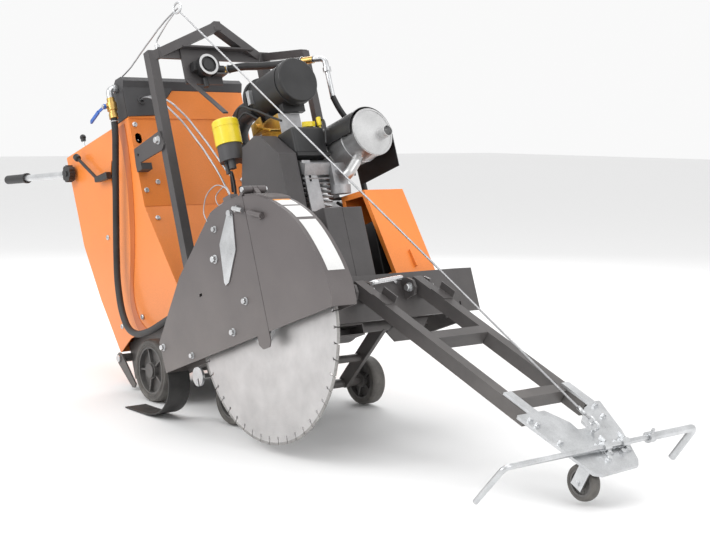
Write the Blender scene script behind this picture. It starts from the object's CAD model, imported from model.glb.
"""Walk-behind saw with an engine, a blade under a guard and a pointer arm in front.

Scene: metres, +X forward, -Y the machine's right, +Z up, floor at z = 0.
The chassis is pitched nose up; its own frame is in millimetres from the rear axle.
"""
import math
import random
import bpy
from mathutils import Vector, Matrix


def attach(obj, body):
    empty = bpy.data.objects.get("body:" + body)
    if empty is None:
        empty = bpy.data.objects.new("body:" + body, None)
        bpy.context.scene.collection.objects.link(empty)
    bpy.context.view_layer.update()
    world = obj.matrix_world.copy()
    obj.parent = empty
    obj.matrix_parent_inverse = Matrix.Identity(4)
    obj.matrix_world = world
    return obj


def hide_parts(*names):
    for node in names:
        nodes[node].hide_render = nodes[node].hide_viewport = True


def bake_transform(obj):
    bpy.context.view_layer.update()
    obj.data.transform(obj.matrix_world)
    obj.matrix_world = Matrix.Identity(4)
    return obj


random.seed(7)
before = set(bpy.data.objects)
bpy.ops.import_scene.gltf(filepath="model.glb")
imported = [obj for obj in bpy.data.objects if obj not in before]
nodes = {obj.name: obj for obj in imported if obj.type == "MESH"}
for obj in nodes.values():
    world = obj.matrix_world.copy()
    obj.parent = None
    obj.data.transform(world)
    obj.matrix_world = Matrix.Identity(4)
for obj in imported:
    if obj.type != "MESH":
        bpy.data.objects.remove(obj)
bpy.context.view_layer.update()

# ------------------------------------------------------------------ frames
CHASSIS_PITCH = math.radians(20.0)
PITCH_COS, PITCH_SIN = math.cos(CHASSIS_PITCH), math.sin(CHASSIS_PITCH)
AXLE_X, AXLE_Y, AXLE_Z = -204.35, 14.748, 100   # rear axle in the scene, mm
POINTER_DROP = math.radians(28.0)               # pointer arm slopes down ahead
DROP_COS, DROP_SIN = math.cos(POINTER_DROP), math.sin(POINTER_DROP)

# Centres seen from the side: (x, z), chassis mm
BLADE_CENTRE = (792, -19)
POINTER_CENTRE = (982, 5)
FRONT_WHEEL_CENTRE = (397, -167)
# Lengthwise axes: (y, z), chassis mm
AIR_CLEANER_AXIS = (0, 722)
MUFFLER_AXIS = (110, 503)


def chassis_point(x, y, z):
    """Chassis millimetres to scene metres."""
    return Vector(((PITCH_COS * x - PITCH_SIN * z + AXLE_X) / 1000,
                   (y + AXLE_Y) / 1000,
                   (PITCH_SIN * x + PITCH_COS * z + AXLE_Z) / 1000))


def chassis_direction(x, y, z):
    """A chassis direction turned into the scene."""
    return Vector((PITCH_COS * x - PITCH_SIN * z, y, PITCH_SIN * x + PITCH_COS * z))


def to_chassis(point):
    """Scene metres to chassis millimetres."""
    x, y, z = point[0] * 1000 - AXLE_X, point[1] * 1000 - AXLE_Y, point[2] * 1000 - AXLE_Z
    return (PITCH_COS * x + PITCH_SIN * z, y, -PITCH_SIN * x + PITCH_COS * z)


pointer_origin = chassis_point(POINTER_CENTRE[0], 0, POINTER_CENTRE[1])


def pointer_point(along, y, above):
    """Millimetres along and square to the pointer arm, to scene metres."""
    return Vector((pointer_origin.x + (DROP_COS * along + DROP_SIN * above) / 1000,
                   (y + AXLE_Y) / 1000,
                   pointer_origin.z + (-DROP_SIN * along + DROP_COS * above) / 1000))


# ------------------------------------------------------------------ materials
class Shader:
    """Adds nodes to a new material; an input takes a value or an output socket."""

    def __init__(self, name):
        self.material = bpy.data.materials.new(name)
        self.material.use_nodes = True
        self.tree = self.material.node_tree
        self.surface = self.tree.nodes["Principled BSDF"]

    def fill(self, node, inputs):
        for key, value in inputs.items():
            if isinstance(value, bpy.types.NodeSocket):
                self.tree.links.new(value, node.inputs[key])
            else:
                node.inputs[key].default_value = value

    def add(self, kind, output, inputs, **settings):
        node = self.tree.nodes.new("ShaderNode" + kind)
        for setting, value in settings.items():
            setattr(node, setting, value)
        self.fill(node, inputs)
        return node.outputs[output]

    def noise(self, vector, scale, detail, roughness=0.5):
        return self.add("TexNoise", "Fac", {"Vector": vector, "Scale": scale,
                                            "Detail": detail, "Roughness": roughness})

    def remap(self, value, from_min=0.0, from_max=1.0, to_min=0.0, to_max=1.0):
        return self.add("MapRange", "Result", {
            "Value": value, "From Min": from_min, "From Max": from_max,
            "To Min": to_min, "To Max": to_max})

    def multiply(self, first, second):
        return self.add("Math", "Value", {0: first, 1: second}, operation="MULTIPLY")

    def mix(self, factor, first, second, blend="MIX"):
        return self.add("MixRGB", "Color", {"Fac": factor, "Color1": first, "Color2": second},
                        blend_type=blend)

    def ramp(self, factor, *stops):
        """Each stop is (position, colour)."""
        colour = self.add("ValToRGB", "Color", {"Fac": factor})
        for element, (position, stop_colour) in zip(colour.node.color_ramp.elements, stops):
            element.color = (*stop_colour, 1)
            element.position = position
        return colour


def turned_rings(shader, place, centre, scale):
    """Noise in circles about an axis along Y through the scene point centre."""
    shifted = shader.add("Mapping", "Vector", {"Vector": place,
                                               "Location": (-centre.x, 0, -centre.z)})
    split = shader.add("SeparateXYZ", "X", {"Vector": shifted}).node.outputs
    flat = shader.add("CombineXYZ", "Vector", {"X": split["X"], "Z": split["Z"]})
    radius = shader.add("VectorMath", "Value", {0: flat}, operation="LENGTH")
    return shader.add("TexNoise", "Fac", {"Scale": scale, "W": radius}, noise_dimensions="1D")


def add_wear(shader, place, rounded, colour, wear):
    """Broken wear on edges, where the rounded normal leaves the true one."""
    true_normal = shader.add("NewGeometry", "Normal", {})
    agreement = shader.add("VectorMath", "Value", {0: rounded, 1: true_normal},
                           operation="DOT_PRODUCT")
    edge = shader.remap(agreement, from_min=0.995, from_max=0.86)
    breaks = shader.remap(shader.noise(place, scale=38, detail=5),
                          from_min=0.47, from_max=0.62)
    amount = shader.multiply(shader.multiply(edge, breaks), wear[3])
    return shader.mix(amount, colour, (*wear[:3], 1))


def add_dust(shader, place, patches, colour, dust):
    """Patchy dust that thickens towards the floor."""
    height = shader.add("SeparateXYZ", "Z", {"Vector": place})
    low = shader.remap(height, from_min=0.55, from_max=0.0, to_max=dust)
    return shader.mix(shader.multiply(low, patches), colour, (0.42, 0.39, 0.35, 1))


def material(name, base, rough, mottle, grain, metal=0.0, wear=None, dust=0.0, coat=0.0,
             rings=None):
    """mottle: (colour spread, noise scale); grain: (bump strength, noise scale);
    wear: (r, g, b, amount); rings: centre of turned circles that replace the grain."""
    spread, mottle_scale = mottle
    bump, grain_scale = grain
    shader = Shader(name)
    place = shader.add("TexCoord", "Object", {})
    patches = shader.noise(place, mottle_scale, detail=6, roughness=0.6)
    if rings is None:
        mapped = shader.add("Mapping", "Vector", {"Vector": place})
        fine = shader.noise(mapped, grain_scale, detail=3)
    else:
        fine = turned_rings(shader, place, rings, grain_scale)
    dark = [max(0.0, c * (1 - spread)) for c in base]
    light = [min(1.0, c * (1 + spread) + 0.004) for c in base]
    mottled = shader.ramp(patches, (0.3, dark), (0.7, light))
    specks = shader.ramp(fine, (0.35, (0.72, 0.72, 0.72)), (0.6, (1, 1, 1)))
    colour = shader.mix(0.35, mottled, specks, blend="MULTIPLY")
    rounded = shader.add("Bevel", "Normal", {"Radius": 0.0009}, samples=4)
    if wear:
        colour = add_wear(shader, place, rounded, colour, wear)
    if dust > 0:
        colour = add_dust(shader, place, patches, colour, dust)
    shader.fill(shader.surface, {
        "Base Color": colour,
        "Roughness": shader.remap(patches, to_min=max(0.05, rough - 0.1),
                                  to_max=min(1.0, rough + 0.14)),
        "Metallic": metal,
        "Normal": shader.add("Bump", "Normal", {"Strength": bump, "Distance": 0.0006,
                                                "Height": fine, "Normal": rounded})})
    if coat:
        shader.fill(shader.surface, {"Coat Weight": coat, "Coat Roughness": 0.12})
    return shader.material


MATERIALS = dict(
    orange=material("orange_coat", (0.83, 0.235, 0.035), rough=0.38, mottle=(0.05, 4),
                    grain=(0.10, 420), wear=(0.93, 0.45, 0.2, 0.5), dust=0.25, coat=0.25),
    orange_dark=material("orange_stripe", (0.55, 0.13, 0.02), rough=0.4, mottle=(0.06, 5),
                         grain=(0.08, 400), coat=0.2),
    charcoal=material("charcoal_coat", (0.062, 0.057, 0.058), rough=0.42, mottle=(0.16, 7),
                      grain=(0.16, 500), wear=(0.3, 0.29, 0.28, 0.65), dust=0.35),
    guard=material("guard_coat", (0.105, 0.092, 0.092), rough=0.4, mottle=(0.10, 5),
                   grain=(0.14, 480), wear=(0.4, 0.38, 0.37, 0.7), dust=0.4),
    black=material("black_mould", (0.018, 0.018, 0.019), rough=0.42, mottle=(0.25, 12),
                   grain=(0.25, 700), wear=(0.12, 0.12, 0.12, 0.4), dust=0.15),
    grey=material("grey_mould", (0.055, 0.054, 0.057), rough=0.5, mottle=(0.12, 8),
                  grain=(0.22, 600), wear=(0.2, 0.2, 0.2, 0.4)),
    alloy=material("sand_cast_alloy", (0.42, 0.42, 0.43), rough=0.5, metal=0.85,
                   mottle=(0.22, 22), grain=(0.5, 330), wear=(0.8, 0.8, 0.8, 0.5), dust=0.2),
    iron=material("cast_iron_black", (0.08, 0.08, 0.083), rough=0.55, metal=0.3,
                  mottle=(0.2, 20), grain=(0.5, 300), wear=(0.3, 0.28, 0.26, 0.5), dust=0.4),
    zinc=material("zinc_plate", (0.62, 0.63, 0.64), rough=0.3, metal=0.95,
                  mottle=(0.16, 16), grain=(0.12, 300), wear=(0.85, 0.85, 0.85, 0.5)),
    chrome=material("bright_chrome", (0.75, 0.75, 0.76), rough=0.12, metal=1.0,
                    mottle=(0.04, 10), grain=(0.03, 300)),
    blade=material("ground_blade", (0.56, 0.55, 0.55), rough=0.34, metal=0.8,
                   mottle=(0.16, 11), grain=(0.2, 900), dust=0.2,
                   rings=chassis_point(BLADE_CENTRE[0], 0, BLADE_CENTRE[1])),
    segment=material("blade_segment", (0.36, 0.35, 0.34), rough=0.6, metal=0.7,
                     mottle=(0.25, 60), grain=(0.5, 900)),
    rubber=material("hose_rubber", (0.014, 0.014, 0.015), rough=0.5, mottle=(0.3, 25),
                    grain=(0.2, 800), dust=0.1),
    tyre=material("solid_tyre", (0.016, 0.016, 0.017), rough=0.62, mottle=(0.3, 30),
                  grain=(0.35, 500), dust=0.5),
    brass=material("brass_body", (0.62, 0.40, 0.13), rough=0.3, metal=0.95,
                   mottle=(0.2, 30), grain=(0.15, 400), wear=(0.8, 0.62, 0.3, 0.5)),
    yellow=material("yellow_enamel", (0.80, 0.62, 0.02), rough=0.33, mottle=(0.08, 14),
                    grain=(0.06, 500), coat=0.3, wear=(0.9, 0.85, 0.4, 0.4)),
    blue=material("blue_dip", (0.03, 0.12, 0.45), rough=0.35, mottle=(0.15, 30),
                  grain=(0.15, 600)),
    red=material("red_mould", (0.55, 0.02, 0.02), rough=0.3, mottle=(0.12, 30),
                 grain=(0.06, 600)),
    label=material("label_film", (0.72, 0.72, 0.71), rough=0.4, mottle=(0.05, 20),
                   grain=(0.03, 700)),
    rope=material("wire_rope", (0.42, 0.42, 0.43), rough=0.35, metal=0.85,
                  mottle=(0.2, 60), grain=(0.8, 900)),
    silver=material("aluminised_shell", (0.60, 0.60, 0.60), rough=0.34, metal=0.9,
                    mottle=(0.14, 12), grain=(0.14, 350), wear=(0.8, 0.8, 0.8, 0.3)),
    amber=material("label_amber", (0.75, 0.28, 0.03), rough=0.4, mottle=(0.05, 20),
                   grain=(0.03, 700)),
)

# The main material of every CAD piece
PIECES = dict(
    charcoal="main_frame lifting_bail front_belt_cover blower_housing belt_side_guard "
             "top_beam front_cradle pointer_frame rear_guide_plate",
    orange="rear_cowl front_shroud",
    grey="cowl_cap",
    black="control_console fuel_tank battery valve_covers air_cleaner muffler_heat_shield "
          "water_regulator lock_knob_right lock_knob_left speed_lever throttle_lever fuel_cap",
    alloy="engine_block carburetor_linkage",
    silver="muffler",
    yellow="oil_filter oil_filler_cap dipstick",
    iron="cast_housings crank_fan_pulley rear_axle",
    rubber="v_belts water_hoses splash_flap",
    brass="water_pipes",
    rope="control_cables pointer_rope",
    zinc="fasteners blade_shaft guard_latch_plate pointer_plate pointer_rod "
         "pointer_extension handlebar_right handlebar_left ignition_key",
    guard="guard_rear guard_front",
    blade="blade",
    tyre="rear_tyres front_wheel_right front_wheel_left pointer_wheel",
    chrome="lift_rod",
    label="guard_labels",
    blue="water_valve_handle",
    red="stop_button",
)
main_material = {name: key for key, names in PIECES.items() for name in names.split()}
for name, piece in nodes.items():
    piece.data.materials.clear()
    piece.data.materials.append(MATERIALS[main_material[name]])


# ------------------------------------------------------------------ second materials
def radius(x, z, centre):
    return math.hypot(x - centre[0], z - centre[1])


def guard_block(x, y, z):
    """Box above the blade, less a small round part."""
    return (754 < x < 905 and 296 < z < 345 and -395.5 < y < -324.5
            and radius(x, z, (864, 331)) > 4.5)


def pointer_block(x, y, z):
    """Box around the pointer centre, less the round part there."""
    return x > 949 and -140 < y < -1 and 12 < z < 50 and radius(x, z, POINTER_CENTRE) > 17


def label_band(x, y, z):
    """Narrow band of angles about the blade centre."""
    return 56 < math.degrees(math.atan2(z - BLADE_CENTRE[1], x - BLADE_CENTRE[0])) < 58.5


def wheel_core(x, y, z):
    return radius(x, z, FRONT_WHEEL_CENTRE) < 57.4


def grip(x, y, z):
    return x < -806


# Piece: (material, test of a face centre in chassis mm); the first test met wins
REPAINTS = {
    "rear_cowl": [("orange_dark", lambda x, y, z: abs(y) > 230.5)],
    "oil_filter": [("grey", lambda x, y, z: z < 583.9)],
    "water_pipes": [("zinc", lambda x, y, z: (y < -200 and z > 908.5) or (x > 611 and y > 100))],
    "handlebar_right": [("rubber", grip)],
    "handlebar_left": [("rubber", grip)],
    "throttle_lever": [("zinc", lambda x, y, z: z < 900)],
    "cast_housings": [("charcoal", lambda x, y, z: 244 < x < 510 and abs(y) < 30),
                      ("zinc", lambda x, y, z: y < -239)],
    "fasteners": [("guard", guard_block), ("chrome", pointer_block),
                  ("black", lambda x, y, z: x < -370 and z < 822 and y > -190)],
    "guard_labels": [("amber", label_band)],
    "blade": [("segment", lambda x, y, z: radius(x, z, BLADE_CENTRE) > 321.2)],
    "carburetor_linkage": [("brass", lambda x, y, z: y < -49)],
    "engine_block": [("black", lambda x, y, z: x < 465 or z < 72)],
    "water_regulator": [("silver",
                         lambda x, y, z: x > 313.5 and math.hypot(y + 52, z - 919) > 26)],
    "air_cleaner": [("zinc", lambda x, y, z: 519 < x < 535 and y < -69)],
    "front_wheel_right": [("iron", wheel_core)],
    "front_wheel_left": [("iron", wheel_core)],
}
for name, rules in REPAINTS.items():
    mesh = nodes[name].data
    for key, _ in rules:
        mesh.materials.append(MATERIALS[key])
    for face in mesh.polygons:
        centre = to_chassis(face.center)
        face.material_index = next(
            (slot for slot, (_, test) in enumerate(rules, 1) if test(*centre)), 0)


def paint_pointer_wheel():
    """Iron core of the pointer wheel, in scene metres."""
    hub, core_radius = pointer_point(785, -42, -20.5), 0.0338
    mesh = nodes["pointer_wheel"].data
    mesh.materials.append(MATERIALS["iron"])
    for face in mesh.polygons:
        away = math.hypot(face.center.x - hub.x, face.center.z - hub.z)
        face.material_index = 1 if away < core_radius else 0


paint_pointer_wheel()


# ------------------------------------------------------------------ mesh helpers
def smooth_path(points, steps=8):
    """Catmull-Rom curve through the points."""
    path = []
    last = len(points) - 1
    for i in range(last):
        p0, p1, p2, p3 = (points[max(0, min(last, i + k))] for k in (-1, 0, 1, 2))
        for step in range(steps):
            t = step / steps
            path.append(0.5 * ((2 * p1) + (p2 - p0) * t + (2 * p0 - 5 * p1 + 4 * p2 - p3) * t * t
                               + (3 * p1 - p0 - 3 * p2 + p3) * t ** 3))
    return path + [points[-1]]


def tube(name, path, size, key, body=None, sides=10, closed=False, stranded=False):
    """Tube of radius size along the path (scene metres), riding on body."""
    strands, twist, strand_depth = 3, 700, 0.16   # twist in radians per metre
    verts, faces = [], []
    count = len(path)
    side = None
    travelled = 0.0
    for i, point in enumerate(path):
        before = path[(i - 1) % count] if (closed or i > 0) else point
        after = path[(i + 1) % count] if (closed or i < count - 1) else point
        ahead = (after - before).normalized()
        if side is None:
            side = Vector((0, 0, 1)) if abs(ahead.z) < 0.9 else Vector((1, 0, 0))
        side = (side - ahead * side.dot(ahead)).normalized()
        across = ahead.cross(side)
        if i:
            travelled += (point - path[i - 1]).length
        for q in range(sides):
            angle = 2 * math.pi * q / sides
            r = size
            if stranded:
                r = size * (1 + strand_depth * math.cos(strands * angle + travelled * twist))
            verts.append(point + side * (r * math.cos(angle)) + across * (r * math.sin(angle)))
    for i in range(count if closed else count - 1):
        j = (i + 1) % count
        for q in range(sides):
            q2 = (q + 1) % sides
            faces.append((i * sides + q, i * sides + q2, j * sides + q2, j * sides + q))
    if not closed:
        faces.append(tuple(reversed(range(sides))))
        faces.append(tuple((count - 1) * sides + q for q in range(sides)))
    mesh = bpy.data.meshes.new(name)
    mesh.from_pydata([tuple(v) for v in verts], [], faces)
    mesh.update()
    mesh.polygons.foreach_set("use_smooth", [True] * len(mesh.polygons))
    made = bpy.data.objects.new(name, mesh)
    bpy.context.scene.collection.objects.link(made)
    mesh.materials.append(MATERIALS[key])
    if body:
        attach(made, body)
    return made


def ring(name, centre, axis, ring_radius, wire_radius, key, body, segments=28):
    """Closed round ring about the axis."""
    axis = Vector(axis).normalized()
    side = axis.orthogonal().normalized()
    across = axis.cross(side)
    angles = [2 * math.pi * i / segments for i in range(segments)]
    path = [centre + side * (ring_radius * math.cos(a)) + across * (ring_radius * math.sin(a))
            for a in angles]
    tube(name, path, wire_radius, key, body, sides=8, closed=True)


# ------------------------------------------------------------------ pull rope
def build_pull_rope():
    """Twisted rope from the guide ring to the pointer arm's eye, and its tail."""
    guide = chassis_point(391, -178, 1063)
    eye = pointer_point(681, 58, 53.5)
    along = (eye - guide).normalized()
    start, end = guide + along * 0.004, eye - along * 0.02
    count = max(2, int((end - start).length / 0.004))
    path = [start.lerp(end, i / (count - 1)) for i in range(count)]
    rope = tube("pull_rope_strands", path, 0.0027, "rope", sides=12, stranded=True)
    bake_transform(rope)
    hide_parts("pointer_rope")
    tube("rope_ferrule", [eye - along * 0.06, eye - along * 0.035], 0.0052, "zinc",
         "pointer_arm", sides=14)
    ring("rope_thimble", eye - along * 0.012, (0, 1, 0), 0.009, 0.0022, "zinc", "pointer_arm")
    tail = [(300, -184, 1058), (180, -196, 1022), (90, -203, 994), (24, -205, 985)]
    points = [guide + Vector((-0.004, 0, 0.006))] + [chassis_point(*p) for p in tail]
    tube("rope_tail_strands", smooth_path(points), 0.0024, "rope", "chassis",
         sides=9, stranded=True)


build_pull_rope()

# ------------------------------------------------------------------ lanyards, lines and leads
# name, radius (m), material, sides, points (chassis mm)
LINES = [
    ("guard_lanyard_a", 0.0016, "rope", 7,
     [(770, -372, 342), (752, -376, 372), (716, -382, 388), (672, -388, 372),
      (650, -392, 332), (668, -398, 300)]),
    ("guard_lanyard_b", 0.0015, "rope", 7,
     [(752, -360, 345), (720, -352, 384), (672, -356, 372), (690, -366, 340),
      (730, -370, 336)]),
    ("fuel_line", 0.004, "rubber", 10,
     [(440, -84, 640), (452, -92, 660), (480, -70, 690), (520, -58, 660), (540, -52, 640)]),
    ("wire_loom_a", 0.005, "rubber", 10,
     [(380, -100, 470), (420, -120, 520), (438, -130, 470), (440, -140, 380),
      (446, -120, 300)]),
    ("wire_loom_b", 0.0035, "rubber", 10,
     [(446, -110, 560), (500, -108, 690), (560, -96, 672), (640, -92, 620), (690, -94, 590)]),
    ("plug_lead_front", 0.0035, "rubber", 10,
     [(700, 20, 566), (716, 34, 586), (738, 24, 560), (745, 8, 500)]),
    ("battery_cable", 0.005, "rubber", 10, [(745, 66, 246), (742, 60, 285), (700, 40, 332)]),
]
for name, size, key, sides, points in LINES:
    path = smooth_path([chassis_point(*p) for p in points])
    tube(name, path, size, key, "chassis", sides=sides)

# ------------------------------------------------------------------ clamps, beads and bands
# name, centre (chassis mm), axis (chassis), ring and wire radius (m), material, segments
RINGS = [
    ("hose_clamp_0", (574, 119.6, 831), (0.93, 0.24, -0.24), 0.0138, 0.0014, "zinc", 28),
    ("hose_clamp_1", (290, 37, 914), (0.85, 0.4, -0.1), 0.0138, 0.0014, "zinc", 28),
    ("hose_clamp_2", (20, -262, 828), (-0.15, 0, -1), 0.0122, 0.0014, "zinc", 28),
    ("duct_clamp", (452, *AIR_CLEANER_AXIS), (1, 0, 0), 0.0352, 0.0022, "zinc", 40),
    ("filter_bead_0", (515, *AIR_CLEANER_AXIS), (1, 0, 0), 0.0690, 0.0022, "black", 48),
    ("filter_bead_1", (660, *AIR_CLEANER_AXIS), (1, 0, 0), 0.0690, 0.0022, "black", 48),
    ("muffler_band_0", (690, *MUFFLER_AXIS), (1, 0, 0), 0.0712, 0.0017, "zinc", 48),
    ("muffler_band_1", (780, *MUFFLER_AXIS), (1, 0, 0), 0.0712, 0.0017, "zinc", 48),
    ("filter_flute_top", (485, -152, 640), (0, 0, 1), 0.0412, 0.0012, "yellow", 40),
]
for name, centre, axis, ring_radius, wire_radius, key, segments in RINGS:
    ring(name, chassis_point(*centre), chassis_direction(*axis), ring_radius, wire_radius,
         key, "chassis", segments)

# Raised lines on the outer sides of the rear tyres
TYRE_SIDE_Y = 286.3
for letter, side_y in (("r", -TYRE_SIDE_Y), ("l", TYRE_SIDE_Y)):
    for i, line_radius in enumerate((0.0845, 0.079)):
        ring(f"tyre_line_{letter}_{i}", chassis_point(0, side_y, 0), (0, 1, 0),
             line_radius, 0.0012, "tyre", "rear_wheels", 48)


# ------------------------------------------------------------------ stage
def build_floor():
    """Matt floor just below z = 0."""
    bpy.ops.mesh.primitive_plane_add(size=60, location=(0, 0, -0.0008))
    floor = bpy.context.object
    floor.name = "floor"
    shader = Shader("floor_paper")
    shader.fill(shader.surface, {"Base Color": (0.84, 0.84, 0.84, 1), "Roughness": 0.9})
    floor.data.materials.append(shader.material)


def area_light(name, place, target, size, watts):
    light = bpy.data.lights.new(name, "AREA")
    light.shape = "RECTANGLE"
    light.size, light.size_y = size
    light.energy = watts
    lamp = bpy.data.objects.new(name, light)
    bpy.context.scene.collection.objects.link(lamp)
    lamp.location = place
    aim = Vector(target) - Vector(place)
    lamp.rotation_euler = aim.to_track_quat("-Z", "Y").to_euler()


def build_world():
    scene = bpy.context.scene
    scene.world = scene.world or bpy.data.worlds.new("World")
    scene.world.use_nodes = True
    background = scene.world.node_tree.nodes["Background"]
    background.inputs["Color"].default_value = (1, 1, 1, 1)
    background.inputs["Strength"].default_value = 0.95
    scene.view_settings.view_transform = "Standard"


def build_camera():
    """Camera ahead and to the machine's right, looking back at it."""
    azimuth, elevation, roll = math.radians(51.75), math.radians(6.1), math.radians(0.5)
    back = Vector((math.sin(azimuth) * math.cos(elevation),
                   -math.cos(azimuth) * math.cos(elevation), math.sin(elevation)))
    level_right = Vector((math.cos(azimuth), math.sin(azimuth), 0))
    level_up = back.cross(level_right)
    right = level_right * math.cos(roll) + level_up * math.sin(roll)
    up = level_up * math.cos(roll) - level_right * math.sin(roll)
    lens = bpy.data.cameras.new("camera")
    lens.lens = 66.6
    lens.sensor_width = 36.0
    camera = bpy.data.objects.new("camera", lens)
    bpy.context.scene.collection.objects.link(camera)
    pose = Matrix((right, up, back)).transposed().to_4x4()
    pose.translation = Vector((3.625 + AXLE_X / 1000, -2.320 + AXLE_Y / 1000, 0.875))
    camera.matrix_world = pose
    bpy.context.scene.camera = camera


build_floor()
area_light("key", place=(-0.6, -4.2, 3.4), target=(0.4, 0, 0.6), size=(3.2, 2.4), watts=105)
area_light("fill", place=(4.2, 0.6, 2.6), target=(0.5, 0, 0.6), size=(3.0, 2.4), watts=42)
area_light("top", place=(0.4, 0.2, 4.6), target=(0.4, 0, 0), size=(4.0, 3.0), watts=55)
area_light("rim", place=(-3.0, 2.6, 2.6), target=(0.2, 0, 0.8), size=(2.4, 2.0), watts=60)
build_world()
build_camera()

bpy.context.view_layer.update()
